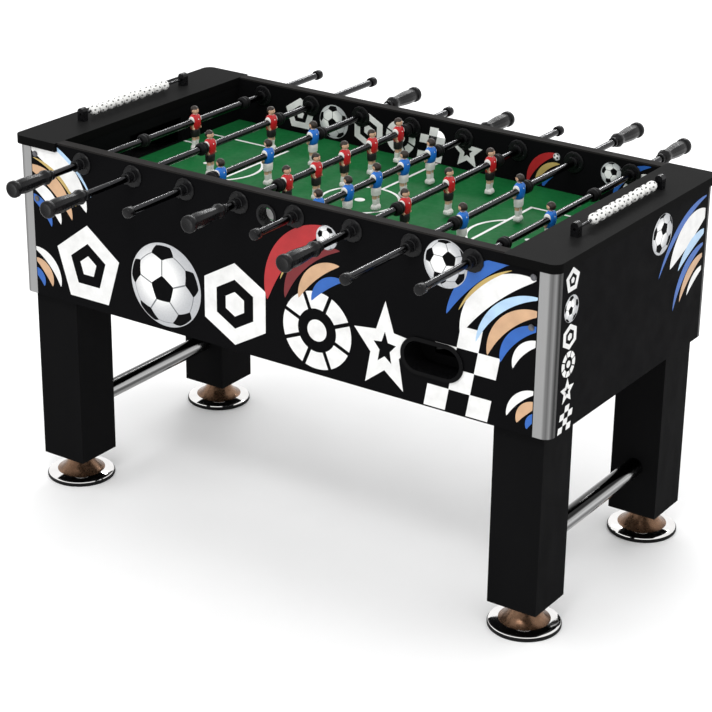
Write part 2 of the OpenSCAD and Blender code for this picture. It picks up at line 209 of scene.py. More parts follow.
MAT = {
    "panel": finish_material("panel_laminate", (0.0046, 0.0046, 0.005), (0.0036, 0.0036, 0.004),
                             (0.42, 0.55), patch=5.0, grain=1500.0, bump=0.2, ior=1.05),
    "inner": finish_material("inner_laminate", (0.005, 0.005, 0.0053), (0.0036, 0.0036, 0.004),
                             (0.4, 0.55), patch=5.0, grain=1500.0, bump=0.2, ior=1.05),
    # board foil: its top painted lighter than its edges, painted shade by facing
    "board": painted_light_by_facing_material("board_foil_painted_shade", "Z", BOARD_PAINTED_SHADE_RAMP,
                             (0.44, 0.52), 0.0, 0.1, (0.03, 0.02, 0.03), 1.045),
    "rail": finish_material("rail_strip", (0.02, 0.0185, 0.018), (0.014, 0.013, 0.0125),
                            (0.42, 0.55), patch=9.0, stretch=(0.3, 1, 1), grain=1200.0, bump=0.3, ior=1.06),
    # aluminium profile: light and dark bands of painted reflection by facing
    "profile": painted_light_by_facing_material("aluminium_painted_reflection", "X", PROFILE_PAINTED_REFLECTION_RAMP,
                               (0.3, 0.44), 1.0, 0.07, (1, 1, 0.02)),
    # chrome tube: a painted highlight band and dark bands of painted reflection by facing
    "tube": painted_light_by_facing_material("tube_chrome_painted_reflection", "Z", TUBE_PAINTED_REFLECTION_RAMP,
                            (0.1, 0.2), 1.0, 0.05, (1, 0.02, 1)),
    "leg": finish_material("leg_laminate", (0.0058, 0.0058, 0.0061), (0.0044, 0.0044, 0.0047),
                           (0.4, 0.55), patch=6.0, stretch=(1, 1, 0.4), grain=1500.0, bump=0.22, ior=1.05),
    "chrome": finish_material("chrome_plate", (0.8, 0.79, 0.78), (0.7, 0.69, 0.68),
                              (0.04, 0.1), 1.0, patch=18.0, grain=300.0, bump=0.02),
    "bronze": finish_material("warm_chrome", (0.26, 0.15, 0.09), (0.09, 0.045, 0.024),
                              (0.2, 0.36), 0.8, patch=30.0, grain=300.0, bump=0.02),
    "steel": finish_material("rod_steel", (0.038, 0.038, 0.04), (0.026, 0.026, 0.028),
                             (0.14, 0.155), 1.0, patch=12.0, stretch=(1, 0.2, 1), grain=40.0, bump=0.0),
    "bolt": finish_material("zinc_bolt", (0.16, 0.16, 0.17), (0.09, 0.09, 0.1),
                            (0.3, 0.45), 1.0, patch=120.0),
    "plastic": finish_material("black_plastic", (0.0055, 0.0055, 0.006), (0.0035, 0.0035, 0.004),
                               (0.2, 0.32), patch=30.0, grain=1400.0, bump=0.12, specular=0.16),
    "cup": finish_material("cup_plastic", (0.0042, 0.0042, 0.0045), (0.003, 0.003, 0.0033),
                           (0.16, 0.24), patch=30.0, grain=1400.0, bump=0.08, ior=1.12),
    "grip": finish_material("black_grip", (0.006, 0.006, 0.0065), (0.004, 0.004, 0.0045),
                            (0.24, 0.36), patch=30.0, grain=1400.0, bump=0.16, specular=0.16),
    "rubber": finish_material("black_rubber", (0.0055, 0.0055, 0.0058), (0.0035, 0.0035, 0.0038),
                              (0.42, 0.6), patch=40.0, grain=1200.0, bump=0.3, specular=0.1),
    "turf": finish_material("field_green", (0.010, 0.125, 0.034), (0.008, 0.108, 0.029),
                            (0.42, 0.6), patch=14.0, grain=1800.0, bump=0.2, ior=1.1),
    "chute": finish_material("chute_black", (0.012, 0.012, 0.012), (0.008, 0.008, 0.008), (0.4, 0.55)),
    "white": paint_material("print_white", (0.8, 0.8, 0.79)),
    "black": finish_material("print_black", (0.0046, 0.0046, 0.005), (0.0036, 0.0036, 0.004),
                             (0.42, 0.55), patch=30.0, grain=900.0, bump=0.1, ior=1.05),
    "seam": paint_material("print_grey", (0.16, 0.17, 0.18), 0.42),
    "red": paint_material("print_red", (0.42, 0.018, 0.022)),
    "dark_red": paint_material("print_dark_red", (0.16, 0.01, 0.014)),
    "blue": paint_material("print_blue", (0.02, 0.11, 0.42)),
    "pale_blue": paint_material("print_pale_blue", (0.42, 0.6, 0.8)),
    "sand": paint_material("print_sand", (0.58, 0.36, 0.21)),
    "gold": paint_material("print_gold", (0.5, 0.36, 0.12)),
    "ball": ball_material("print_ball_white"),
    "bead": paint_material("bead_white", (0.82, 0.82, 0.8), 0.3),
    "shirt_red": paint_material("shirt_red", (0.5, 0.012, 0.016), 0.32),
    "shirt_blue": paint_material("shirt_blue", (0.012, 0.15, 0.56), 0.32),
    "skin": paint_material("figure_skin", (0.68, 0.42, 0.28), 0.38),
    "hair": paint_material("figure_hair", (0.022, 0.014, 0.01), 0.4),
    "cloth_white": paint_material("figure_white", (0.8, 0.79, 0.76), 0.36),
    "cloth_black": paint_material("figure_black", (0.012, 0.011, 0.011), 0.34),
}


# ---------------------------------------------------------------- mesh tools


class Solid:
    """Collects surfaces with their materials into one mesh."""

    def __init__(self, *materials):
        self.bm = bmesh.new()
        self.materials = materials

    def skin(self, rings, material, closed=True):
        """Joins rings of equally many points, and closes both ends."""
        index = self.materials.index(material)
        rows = [[self.bm.verts.new(p) for p in ring] for ring in rings]
        count = len(rows[0])
        for low, high in zip(rows, rows[1:]):
            for k in range(count):
                face = self.bm.faces.new((low[k], low[(k + 1) % count], high[(k + 1) % count], high[k]))
                face.material_index = index
        if closed:
            for row in (rows[0][::-1], rows[-1]):
                self.bm.faces.new(row).material_index = index
        return rows

    def lathe(self, profile, material, count=40, shape=None, start=0.0, closed=True):
        """Turns (radius, y) points about the Y axis. shape(angle, y) scales the radius."""
        rings = []
        for radius, y in profile:
            ring = []
            for k in range(count):
                a = start + 2 * math.pi * k / count
                r = radius * (shape(a, y) if shape else 1)
                ring.append((r * math.sin(a), y, r * math.cos(a)))
            rings.append(ring)
        return self.skin(rings, material, closed)

    def ball(self, centre, radii, material, count=16, rows=10, cut=None):
        """An ellipsoid; cut=(low, high) keeps only that part of its height."""
        low, high = cut or (-1.0, 1.0)
        rings = []
        for j in range(rows + 1):
            t = low + (high - low) * (0.5 - 0.5 * math.cos(math.pi * j / rows))
            r = math.sqrt(max(1 - t * t, 0.0004))
            ring = []
            for k in range(count):
                a = 2 * math.pi * k / count
                ring.append((centre[0] + radii[0] * r * math.cos(a), centre[1] + radii[1] * r * math.sin(a),
                             centre[2] + radii[2] * t))
            rings.append(ring)
        self.skin(rings, material)

    def loft(self, sections, material, count=20, power=2.6):
        """Stacks superellipses (x, y, z, half x, half y) from low to high."""
        rings = []
        for x, y, z, rx, ry in sections:
            ring = []
            for k in range(count):
                a = 2 * math.pi * k / count
                c, s = math.cos(a), math.sin(a)
                ring.append((x + rx * math.copysign(abs(c) ** (2 / power), c),
                             y + ry * math.copysign(abs(s) ** (2 / power), s), z))
            rings.append(ring)
        self.skin(rings, material)

    def mesh(self, name, sharp=38.0, scale=MM):
        """The finished mesh in metres, smooth except along sharp edges."""
        bmesh.ops.scale(self.bm, vec=(scale,) * 3, verts=self.bm.verts)
        bmesh.ops.recalc_face_normals(self.bm, faces=self.bm.faces)
        for face in self.bm.faces:
            face.smooth = True
        for edge in self.bm.edges:
            if len(edge.link_faces) == 2 and edge.calc_face_angle(0) > math.radians(sharp):
                edge.smooth = False
        mesh = bpy.data.meshes.new(name)
        self.bm.to_mesh(mesh)
        self.bm.free()
        for key in self.materials:
            mesh.materials.append(MAT[key])
        return mesh


def put(name, mesh, body, place=Matrix.Identity(4), stands_for=()):
    """Adds a piece at its place, riding on a body and the nodes it stands for."""
    piece = bpy.data.objects.new(name, mesh)
    SCENE.collection.objects.link(piece)
    piece.matrix_world = place
    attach(piece, body)
    if stands_for:
        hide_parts(*stands_for)
    return piece


def at(x, y, z, turned=False):
    """A place, turned by half a turn about Z when asked."""
    return Matrix.Translation((x, y, z)) @ (HALF_TURN if turned else Matrix.Identity(4))


def smooth_profile(points, steps=6):
    """A Catmull-Rom curve through (radius, y) points."""
    ends = [points[0]] + list(points) + [points[-1]]
    out = []
    for a, b, c, d in zip(ends, ends[1:], ends[2:], ends[3:]):
        for k in range(steps):
            t = k / steps
            out.append(tuple(
                0.5 * (2 * q + (r - p) * t + (2 * p - 5 * q + 4 * r - s) * t * t
                       + (3 * q - p - 3 * r + s) * t ** 3)
                for p, q, r, s in zip(a, b, c, d)))
    out.append(points[-1])
    return out


# ---------------------------------------------------------------- CAD nodes that stay


def dress(node, key, edge=0.0):
    """Gives a CAD node its material, and rounds its edges where edge is set."""
    piece = NODES[node]
    piece.data.materials.clear()
    piece.data.materials.append(MAT[key])
    if edge:
        bevel = piece.modifiers.new("edge", "BEVEL")
        bevel.width = edge
        bevel.segments = 2
        bevel.limit_method = "ANGLE"
        bevel.angle_limit = math.radians(40)
        bevel.harden_normals = True


for name in ("front_panel", "back_panel", "left_end_panel", "right_end_panel"):
    dress(name, "panel")
for name in ("left_goal_wall", "right_goal_wall", "cabinet_floor"):
    dress(name, "inner")
for name in ("left_top_board", "right_top_board"):
    dress(name, "board", 1.6 * MM)
dress("playfield", "turf")
dress("side_top_rails", "rail", 0.8 * MM)
dress("corner_profiles", "profile")
dress("legs", "leg", 1.5 * MM)
dress("leg_tubes", "tube")
dress("ball_entry_cups", "plastic")
dress("ball_return_cups", "cup", 1.4 * MM)
dress("left_ball_chute", "chute")
dress("right_ball_chute", "chute")
dress("score_posts", "plastic", 1.2 * MM)
dress("score_rods", "steel")
dress("panel_bolts", "bolt")
for row in ROWS:
    dress(f"rod_{row}", "steel")


# ---------------------------------------------------------------- rods' pieces

# lengths along the rod, and half the width of a man
GRIP_L = 128.0
CAP_L = 20.0
BUMPER_L = 25.0
MAN_HALF = 16.0
GRIP_SIDES = 10
# where the grip's flat sides start and end, and over how far they fade
FLAT_START, FLAT_END, FLAT_FADE = 14.0, 112.0, 10.0


def grip_shape(angle, y):
    """Flat sides along the belly of the grip, fading to round at its ends."""
    flat = max(0.0, min(1.0, (y - FLAT_START) / FLAT_FADE, (FLAT_END - y) / FLAT_FADE))
    step = 2 * math.pi / GRIP_SIDES
    inside = (angle % step) - step / 2
    polygon = math.cos(step / 2) / math.cos(inside)
    return 1 + flat * (polygon * 1.03 - 1)


def grip_mesh():
    """A handle with its collar at y = 0 and its flared end at GRIP_L. Millimetres."""
    solid = Solid("grip", "plastic")
    solid.lathe([(8.4, 0), (10.4, 0), (11.2, 0.8), (11.2, 9.2), (10.4, 10)], "plastic", 40)
    belly = smooth_profile([(10.8, 10.2), (13.6, 13), (16.6, 20), (16.4, 26), (14.0, 34), (13.7, 42),
                            (15.4, 62), (16.9, 84), (16.6, 100), (15.2, 111), (15.6, 114)], 4)
    rim = [(18.2, 115.5), (18.9, 117.2), (18.9, 124.5), (18.2, 126.6), (16.4, 127.8), (13.0, 128),
           (11.6, 127.0), (3.0, 126.4)]
    solid.lathe(belly + rim, "grip", 80, grip_shape)
    return solid


def flip_y(solid):
    """Turns a lathed piece end for end."""
    bmesh.ops.scale(solid.bm, vec=(1, -1, 1), verts=solid.bm.verts)
    return solid


GRIP = flip_y(grip_mesh()).mesh("grip_mesh", 50)

cap = Solid("plastic")
cap.lathe([(8.2, 0), (10.8, 0), (11.9, 1.2), (11.9, 15.5), (11.2, 17.6), (9.6, 19.2), (7.4, 19.9),
           (2.0, 20)], "plastic")
CAP = cap.mesh("cap_mesh", 50)

bumper = Solid("rubber")
bumper.lathe([(8.0, 0), (11.2, 0), (12.8, 1.2), (13.1, 4.2), (14.6, 5.4), (15.0, 7.2), (15.0, 11.4),
              (14.2, 12.5), (15.0, 13.6), (15.0, 17.8), (14.6, 19.6), (13.1, 20.8), (12.8, 23.8),
              (11.2, 25), (8.0, 25)], "rubber")
BUMPER = bumper.mesh("bumper_mesh", 50)


def man_mesh(name, shirt, shorts):
    """A playing figure facing +X, with its rod along Y through the origin. Millimetres."""
    s = Solid(*dict.fromkeys((shirt, "cloth_white", "skin", "hair", shorts, "black")))
    # shirt: hem, waist, chest around the rod, shoulders and neck opening
    s.loft([(0, 0, -18.4, 8.4, 12.2), (0.2, 0, -17, 9.6, 13.2), (0.2, 0, -10, 11.2, 14.1),
            (0, 0, -3, 12.0, 14.8), (0, 0, 5, 11.6, 15.0), (-0.2, 0, 11.5, 9.6, 14.6),
            (-0.4, 0, 15, 7.4, 12.4), (-0.4, 0, 17, 5.6, 8.4), (-0.2, 0, 18, 4.6, 5.2)], shirt, 28)
    # a sleeve, a forearm and a hand on each side
    for side in (-1, 1):
        y = side * 13.2
        s.ball((0.2, y, 4.5), (8.4, 3.1, 9.4), "cloth_white", 18, 10)
        s.ball((2.6, y * 0.98, -8.5), (4.3, 2.8, 8.2), "skin", 14, 8)
        s.ball((5.6, y * 0.94, -15.6), (3.4, 2.6, 3.4), "skin", 12, 8)
    # collar ring and neck
    s.loft([(-0.2, 0, 16.4, 5.6, 6.6), (-0.1, 0, 18.2, 5.0, 5.6)], "cloth_white", 20, 2.0)
    s.loft([(0, 0, 15, 4.4, 4.6), (0.1, 0, 21, 4.2, 4.4)], "skin", 18, 2.0)
    # head on plain proportions, with ears, eyes, nose and mouth
    s.ball((0.2, 0, 27.2), (9.6, 8.6, 10.2), "skin", 24, 16)
    for side in (-1, 1):
        s.ball((-0.4, side * 8.5, 26.2), (1.6, 1.0, 2.4), "skin", 10, 6)
        s.ball((8.8, side * 3.2, 28.2), (0.8, 1.1, 0.75), "black", 8, 6)
    s.ball((9.7, 0, 25.8), (1.4, 1.2, 2.1), "skin", 10, 6)
    s.ball((8.5, 0, 21.9), (0.7, 2.4, 0.45), "hair", 10, 6)
    # hair: a cap that covers the top and the back
    s.ball((-0.7, 0, 28.0), (10.2, 9.6, 9.9), "hair", 24, 12, (0.26, 1.0))
    s.ball((-2.6, 0, 27.2), (8.4, 9.2, 9.2), "hair", 24, 12, (-0.55, 0.9))
    # shorts, then a knee and a stocking for each leg
    s.loft([(0, 0, -37, 7.0, 10.2), (0.2, 0, -36.4, 8.6, 12.4), (0.2, 0, -28, 9.2, 13.0),
            (0, 0, -18.6, 9.0, 12.7), (0, 0, -17.4, 8.0, 11.6)], shorts, 26)
    for side in (-1, 1):
        y = side * 5.4
        s.loft([(0.6, y, -46.5, 4.9, 4.5), (0.8, y, -43, 5.4, 4.8), (0.4, y, -39, 5.4, 4.9),
                (0, y, -35, 5.8, 5.2)], "skin", 18, 2.2)
        s.loft([(-0.4, y, -60.5, 4.3, 4.1), (-0.6, y, -54, 5.3, 4.7), (0.2, y, -48.5, 5.3, 4.7),
                (0.4, y, -46.6, 5.6, 5.0), (0.4, y, -45.4, 5.2, 4.7)], "cloth_white", 18, 2.2)
    # the boots and the block between them, which strikes the ball
    s.loft([(0.4, 0, -69.5, 8.2, 10.8), (0.4, 0, -68.7, 9.1, 11.7), (0.3, 0, -63.5, 9.0, 11.6),
            (0, 0, -60.4, 7.4, 10.6), (-0.2, 0, -58.6, 5.4, 9.2)], "cloth_white", 28, 3.6)
    s.loft([(0.2, 0, -60, 3.4, 4.4), (-0.4, 0, -50, 3.4, 3.0), (0, 0, -40, 3.6, 3.0)],
           "cloth_white", 14, 2.2)
    # a plain white spot on the shirt's front and back
    for x in (10.6, -10.6):
        s.ball((x, 0, 5.0), (0.9, 2.6, 3.2), "cloth_white", 12, 8)
    return s.mesh(name, 60)


MAN = {
    True: man_mesh("man_red_mesh", "shirt_red", "cloth_black"),
    False: man_mesh("man_blue_mesh", "shirt_blue", "cloth_white"),
}

for row in ROWS:
    red = row in RED_ROWS
    lean = 1 if red else -1
    turned = not red
    rod_low, rod_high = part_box(f"rod_{row}")
    x = (rod_low.x + rod_high.x) / 2
    z = (rod_low.z + rod_high.z) / 2
    low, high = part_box(f"handle_{row}")
    grip_end, cap_end = (low.y, high.y) if red else (high.y, low.y)
    put(f"grip_{row}", GRIP, f"rod_{row}", at(x, grip_end + lean * GRIP_L * MM, z, turned),
        [f"handle_{row}"])
    put(f"end_cap_{row}", CAP, f"rod_{row}", at(x, cap_end - lean * CAP_L * MM, z, turned),
        [f"handle_{row}"])
    low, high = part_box(f"bumpers_{row}")
    put(f"bumper_{row}_front", BUMPER, f"bumpers_{row}", at(x, low.y, z), [f"bumpers_{row}"])
    put(f"bumper_{row}_back", BUMPER, f"bumpers_{row}", at(x, high.y - BUMPER_L * MM, z),
        [f"bumpers_{row}"])
    low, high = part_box(f"men_{row}")
    first, last = low.y + MAN_HALF * MM, high.y - MAN_HALF * MM
    count = MEN_COUNT[row]
    for k in range(count):
        y = first + (last - first) * (k / (count - 1) if count > 1 else 0)
        put(f"man_{row}_{k + 1}", MAN[red], f"rod_{row}",
            at(x, y, z, turned), [f"men_{row}"])


# ---------------------------------------------------------------- bearings

PANEL_OUT = 350.0
PANEL_IN = 325.0
FLANGE_T = 5.0
HUB_OUT = 377.0
HUB_IN = 312.0
FLANGE_SIDES = 12
# the three screws in each flange
SCREWS = 3
SCREW_CIRCLE = 19.0

bearing = Solid("plastic", "grip")
outer = [(8.1, -PANEL_OUT), (25.0, -PANEL_OUT), (25.9, -PANEL_OUT - 1), (25.9, -PANEL_OUT - 2.6),
         (24.2, -PANEL_OUT - 4.6), (21.5, -PANEL_OUT - FLANGE_T), (12.5, -PANEL_OUT - FLANGE_T + 0.4)]
bearing.lathe(outer, "grip", FLANGE_SIDES, start=math.pi / FLANGE_SIDES)
bearing.lathe([(8.0, -PANEL_OUT - 3), (13.6, -PANEL_OUT - 3), (13.2, -PANEL_OUT - 7), (12.0, -PANEL_OUT - 9),
               (12.0, -HUB_OUT + 3), (12.6, -HUB_OUT + 2.4), (12.6, -HUB_OUT + 0.8), (11.8, -HUB_OUT),
               (8.05, -HUB_OUT)], "plastic")
inner = [(8.1, -PANEL_IN), (25.0, -PANEL_IN), (25.9, -PANEL_IN + 1), (25.9, -PANEL_IN + 2.6),
         (24.2, -PANEL_IN + 4.6), (21.5, -PANEL_IN + FLANGE_T), (14.5, -PANEL_IN + FLANGE_T - 0.4)]
bearing.lathe(inner, "grip", FLANGE_SIDES, start=math.pi / FLANGE_SIDES)
bearing.lathe([(8.0, -PANEL_IN + 2), (15.4, -PANEL_IN + 2), (14.2, -PANEL_IN + 7), (14.0, -HUB_IN - 1.6),
               (13.0, -HUB_IN), (8.05, -HUB_IN)], "plastic")
for k in range(SCREWS):
    a = 2 * math.pi * k / SCREWS
    hole = Vector((SCREW_CIRCLE * math.sin(a), 0, SCREW_CIRCLE * math.cos(a)))
    for y, way in ((-PANEL_OUT - FLANGE_T, -1), (-PANEL_IN + FLANGE_T, 1)):
        rings = []
        for radius, lift in ((2.9, -1.0), (2.9, 0.35), (2.3, 0.75), (0.8, 0.8)):
            rings.append([(hole.x + radius * math.cos(t), y + way * lift, hole.z + radius * math.sin(t))
                          for t in (2 * math.pi * j / 12 for j in range(12))])
        bearing.skin(rings, "plastic")
BEARING = bearing.mesh("bearing_mesh", 24)

for row in ROWS:
    rod_low, rod_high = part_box(f"rod_{row}")
    x = (rod_low.x + rod_high.x) / 2
    z = (rod_low.z + rod_high.z) / 2
    put(f"bearing_{row}_front", BEARING, "cabinet", at(x, 0, z), ["rod_bearings"])
    put(f"bearing_{row}_back", BEARING, "cabinet", at(x, 0, z, True), ["rod_bearings"])


# ---------------------------------------------------------------- feet

FOOT_R = 81.0


def upright(solid):
    """Turns a lathed piece from the Y axis to the Z axis."""
    bmesh.ops.rotate(solid.bm, verts=solid.bm.verts, matrix=Matrix.Rotation(math.pi / 2, 3, "X"))
    return solid


foot = Solid("rubber", "chrome", "bronze", "bolt")
foot.lathe([(70, 0), (FOOT_R - 1.5, 0), (FOOT_R, 1.4), (FOOT_R, 6.6), (FOOT_R - 1.4, 8), (70, 8.4)],
           "rubber", 72)
foot.lathe([(60, 7.6), (FOOT_R - 2.2, 7.8), (FOOT_R - 1.8, 8.8), (FOOT_R - 2.6, 10.4),
            (FOOT_R - 5, 11.4), (72, 12.6), (64, 13.9), (57, 15.6)], "chrome", 72)
bell = smooth_profile([(58, 15.2), (52, 18.0), (44, 23.8), (36, 32.2), (29, 42), (23.4, 52), (20, 58)], 4)
foot.lathe(bell, "bronze", 72)
foot.lathe([(20.4, 57.6), (20.8, 58.4), (20.2, 59.4), (12, 59.8)], "chrome", 48)
foot.lathe([(11.4, 59), (12.2, 59.4), (12.2, 62.2), (11.4, 62.6), (5, 62.8)], "bolt", 6)
FOOT = upright(foot).mesh("foot_mesh", 40)

for name in ("foot_front_left", "foot_front_right", "foot_back_left", "foot_back_right"):
    low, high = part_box(name)
    place = at((low.x + high.x) / 2, (low.y + high.y) / 2, 0)
    put(f"{name}_bell", FOOT, name, place, [name])


# ---------------------------------------------------------------- score beads

BEAD_L = 28.0
BEAD_R = 12.0
BEAD_PITCH = 28.2
BEADS = 10
BEAD_STEPS = 18
# how far out its ends are cut flat, as a share of half its length
BEAD_FLAT = 0.93
# the turn from each bead to the next, so that their dots don't line up
BEAD_TURN = 0.7
# the small hole's radius at both ends, and how far the ends are set in
BORE_R, BORE_INSET = 3.4, 0.2
DOT_R = 2.3
DOT_ROWS = 3
DOT_STEP = 8.2
DOTS_ROUND = 5
# a dot's bottom and top, above the bead's surface
DOT_LIFTS = (-0.5, 0.14)

bead = Solid("bead", "black")


def bead_radius(y):
    """The bead's outline: a ball drawn out a little, cut flat at both ends."""
    t = (y - BEAD_L / 2) / (BEAD_L / 2)
    return BEAD_R * math.sqrt(1 - (BEAD_FLAT * t) ** 2)


outline = []
for k in range(BEAD_STEPS + 1):
    share = 0.5 - 0.5 * math.cos(math.pi * k / BEAD_STEPS)
    y = BORE_INSET + (BEAD_L - 2 * BORE_INSET) * share
    outline.append((bead_radius(y), y))
bead.lathe([(BORE_R, BORE_INSET)] + outline + [(BORE_R, BEAD_L - BORE_INSET)], "bead", 40)
for j in range(DOT_ROWS):
    y = BEAD_L / 2 + (j - 1) * DOT_STEP
    for k in range(DOTS_ROUND):
        a = 2 * math.pi * (k + 0.5 * (j % 2)) / DOTS_ROUND
        ring = []
        for t in range(12):
            u = DOT_R * math.cos(2 * math.pi * t / 12)
            v = DOT_R * math.sin(2 * math.pi * t / 12)
            ring.append((a + u / BEAD_R, y + v))
        rings = []
        for lift in DOT_LIFTS:
            rings.append([((bead_radius(v) + lift) * math.sin(b), v, (bead_radius(v) + lift) * math.cos(b))
                          for b, v in ring])
        bead.skin(rings, "black")
BEAD = bead.mesh("bead_mesh", 50)

for side in ("left", "right"):
    low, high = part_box(f"{side}_score_beads")
    x = (low.x + high.x) / 2
    z = (low.z + high.z) / 2
    for k in range(BEADS):
        turn = Matrix.Rotation(BEAD_TURN * k, 4, "Y")
        y = low.y + k * BEAD_PITCH * MM
        put(f"{side}_bead_{k + 1}", BEAD, f"{side}_beads", Matrix.Translation((x, y, z)) @ turn,
            [f"{side}_score_beads"])


# ---------------------------------------------------------------- printed film


def inside(point, loop):
    """Even-odd test of a point in a closed loop."""
    x, y = point
    odd = False
    j = len(loop) - 1
    for i in range(len(loop)):
        (xi, yi), (xj, yj) = loop[i], loop[j]
        if (yi > y) != (yj > y) and x < (xj - xi) * (y - yi) / (yj - yi) + xi:
            odd = not odd
        j = i
    return odd


def film(name, shapes, place, cuts=(), body="cabinet", thickness=0.00025):
    """One thin printed sheet of (loop, material) shapes in paint order. Cuts are left bare. Millimetres."""
    loops = [loop for loop, _ in shapes] + list(cuts)
    points, edges = [], []
    for loop in loops:
        base = len(points)
        points += [Vector(p) for p in loop]
        edges += [(base + k, base + (k + 1) % len(loop)) for k in range(len(loop))]
    verts, _, faces, *_ = delaunay_2d_cdt(points, edges, [], 0, 1e-4)
    keys = []
    bm = bmesh.new()
    corners = [bm.verts.new((v.x * MM, v.y * MM, 0)) for v in verts]
    for face in faces:
        centre = sum((verts[k] for k in face), Vector((0, 0))) / len(face)
        if any(inside(centre, cut) for cut in cuts):
            continue
        colour = None
        for loop, key in shapes:
            if inside(centre, loop):
                colour = key
        if colour is None:
            continue
        if colour not in keys:
            keys.append(colour)
        made = bm.faces.new([corners[k] for k in face])
        made.material_index = keys.index(colour)
    bmesh.ops.delete(bm, geom=[v for v in bm.verts if not v.link_faces], context="VERTS")
    for face in bm.faces:
        if face.normal.z < 0:
            face.normal_flip()
    bmesh.ops.dissolve_limit(bm, angle_limit=0.01, verts=bm.verts, edges=bm.edges, delimit={"MATERIAL"})
    mesh = bpy.data.meshes.new(name)
    bm.to_mesh(mesh)
    bm.free()
    for key in keys:
        mesh.materials.append(MAT[key])
    piece = put(name, mesh, body, place)
    thick = piece.modifiers.new("film", "SOLIDIFY")
    thick.thickness = thickness
    thick.offset = 1.0
    return piece


def ellipse(cx, cy, rx, ry=None, count=48):
    ry = ry or rx
    return [(cx + rx * math.cos(2 * math.pi * k / count), cy + ry * math.sin(2 * math.pi * k / count))
            for k in range(count)]


def polygon(cx, cy, r, sides, turn=90.0, squeeze=1.0):
    return [(cx + squeeze * r * math.cos(math.radians(turn + 360 * k / sides)),
             cy + r * math.sin(math.radians(turn + 360 * k / sides))) for k in range(sides)]


def star(cx, cy, rx, ry, inner=0.46):
    loop = []
    for k in range(10):
        r = 1.0 if k % 2 == 0 else inner
        a = math.radians(90 + 36 * k)
        loop.append((cx + rx * r * math.cos(a), cy + ry * r * math.sin(a)))
    return loop


def slanted(cx, cy, w, h, lean):
    """A bar of width w and height h whose top leans sideways."""
    return [(cx - w / 2 - lean, cy - h / 2), (cx + w / 2 - lean, cy - h / 2),
            (cx + w / 2 + lean, cy + h / 2), (cx - w / 2 + lean, cy + h / 2)]


def line(x0, y0, x1, y1, w):
    length = math.hypot(x1 - x0, y1 - y0)
    nx, ny = -(y1 - y0) / length * w / 2, (x1 - x0) / length * w / 2
    ex, ey = (x1 - x0) / length * w / 2, (y1 - y0) / length * w / 2
    return [(x0 - ex + nx, y0 - ey + ny), (x0 - ex - nx, y0 - ey - ny), (x1 + ex - nx, y1 + ey - ny),
            (x1 + ex + nx, y1 + ey + ny)]


def swoosh(cx, cy, r, start, end, width, region, count=40):
    """An arc pointed at both ends, kept within a region given as (x0, y0, x1, y1)."""
    outer, inner = [], []
    for k in range(count + 1):
        t = k / count
        a = math.radians(start + (end - start) * t)
        half = width / 2 * math.sin(math.pi * t) ** 0.75 + 0.3
        outer.append((cx + (r + half) * math.cos(a), cy + (r + half) * math.sin(a)))
        inner.append((cx + (r - half) * math.cos(a), cy + (r - half) * math.sin(a)))
    x0, y0, x1, y1 = region
    return [(min(max(x, x0), x1), min(max(y, y0), y1)) for x, y in outer + inner[::-1]]


def sweeps(cx, cy, bands, region):
    """Coloured arcs about one centre. Each band is (radius, start, end, width, material)."""
    return [(swoosh(cx, cy, r, start, end, width, region), key) for r, start, end, width, key in bands]


def stadium(cx, cy, half, r, count=16):
    loop = []
    for side, base in ((1, -90), (-1, 90)):
        for k in range(count + 1):
            a = math.radians(base + 180 * k / count)
            loop.append((cx + side * half + r * math.cos(a), cy + r * math.sin(a)))
    return loop


# the middles of a ball's twelve dark patches: two poles and two rings of five
POLE_ANGLE = math.radians(63.435)
BALL_POLES = [Vector((0, 0, 1))] + [
    Vector((math.sin(POLE_ANGLE) * math.cos(math.radians(72 * k)),
            math.sin(POLE_ANGLE) * math.sin(math.radians(72 * k)),
            math.cos(POLE_ANGLE))) for k in range(5)]
BALL_POLES += [-p for p in BALL_POLES]
# a patch's half width, half a seam's width, and the widest angle between neighbouring patches
PATCH = math.radians(20.08)
SEAM_W = 0.018
NEAR = math.radians(70)
# patches end a little inside the ball's outline
RIM_INSET = 0.985


def football_shapes(cx, cy, r, tilt=(0.0, 0.0), spin=0.0):
    """A football as it looks from afar: patches and seams of the usual ball, laid flat."""
    turn = (Matrix.Rotation(math.radians(tilt[0]), 3, "X") @ Matrix.Rotation(math.radians(tilt[1]), 3, "Y")
            @ Matrix.Rotation(math.radians(spin), 3, "Z"))
    poles = [turn @ p for p in BALL_POLES]

    def flat(p):
        if p.z < 0:
            side = Vector((p.x, p.y)).normalized()
            return (cx + r * RIM_INSET * side.x, cy + r * RIM_INSET * side.y)
        return (cx + r * RIM_INSET * p.x, cy + r * RIM_INSET * p.y)

    def toward(a, b, angle):
        axis = a.cross(b).normalized()
        return Matrix.Rotation(angle, 3, axis) @ a

    shapes = [(ellipse(cx, cy, r, count=72), "ball")]
    for i, a in enumerate(poles):
        for b in poles[i + 1:]:
            gap = a.angle(b)
            if gap > NEAR:
                continue
            axis = a.cross(b).normalized()
            arc = [toward(a, b, PATCH + (gap - 2 * PATCH) * k / 4) for k in range(5)]
            if min(p.z for p in arc) < 0.02:
                continue
            left = [flat((p + axis * SEAM_W).normalized()) for p in arc]
            right = [flat((p - axis * SEAM_W).normalized()) for p in arc]
            shapes.append((left + right[::-1], "seam"))
    for a in poles:
        near = sorted((b for b in poles if 0.1 < a.angle(b) < NEAR), key=lambda b: b.z)
        if len(near) < 5 or a.z < -math.sin(PATCH):
            continue
        first = near[0]
        corners = [Matrix.Rotation(math.radians(72 * k), 3, a) @ toward(a, first, PATCH) for k in range(5)]
        outline = []
        for p, q in zip(corners, corners[1:] + corners[:1]):
            outline += [p.lerp(q, k / 4).normalized() for k in range(4)]
        if max(p.z for p in outline) < 0.05:
            continue
        shapes.append(([flat(p) for p in outline], "black"))
    return shapes


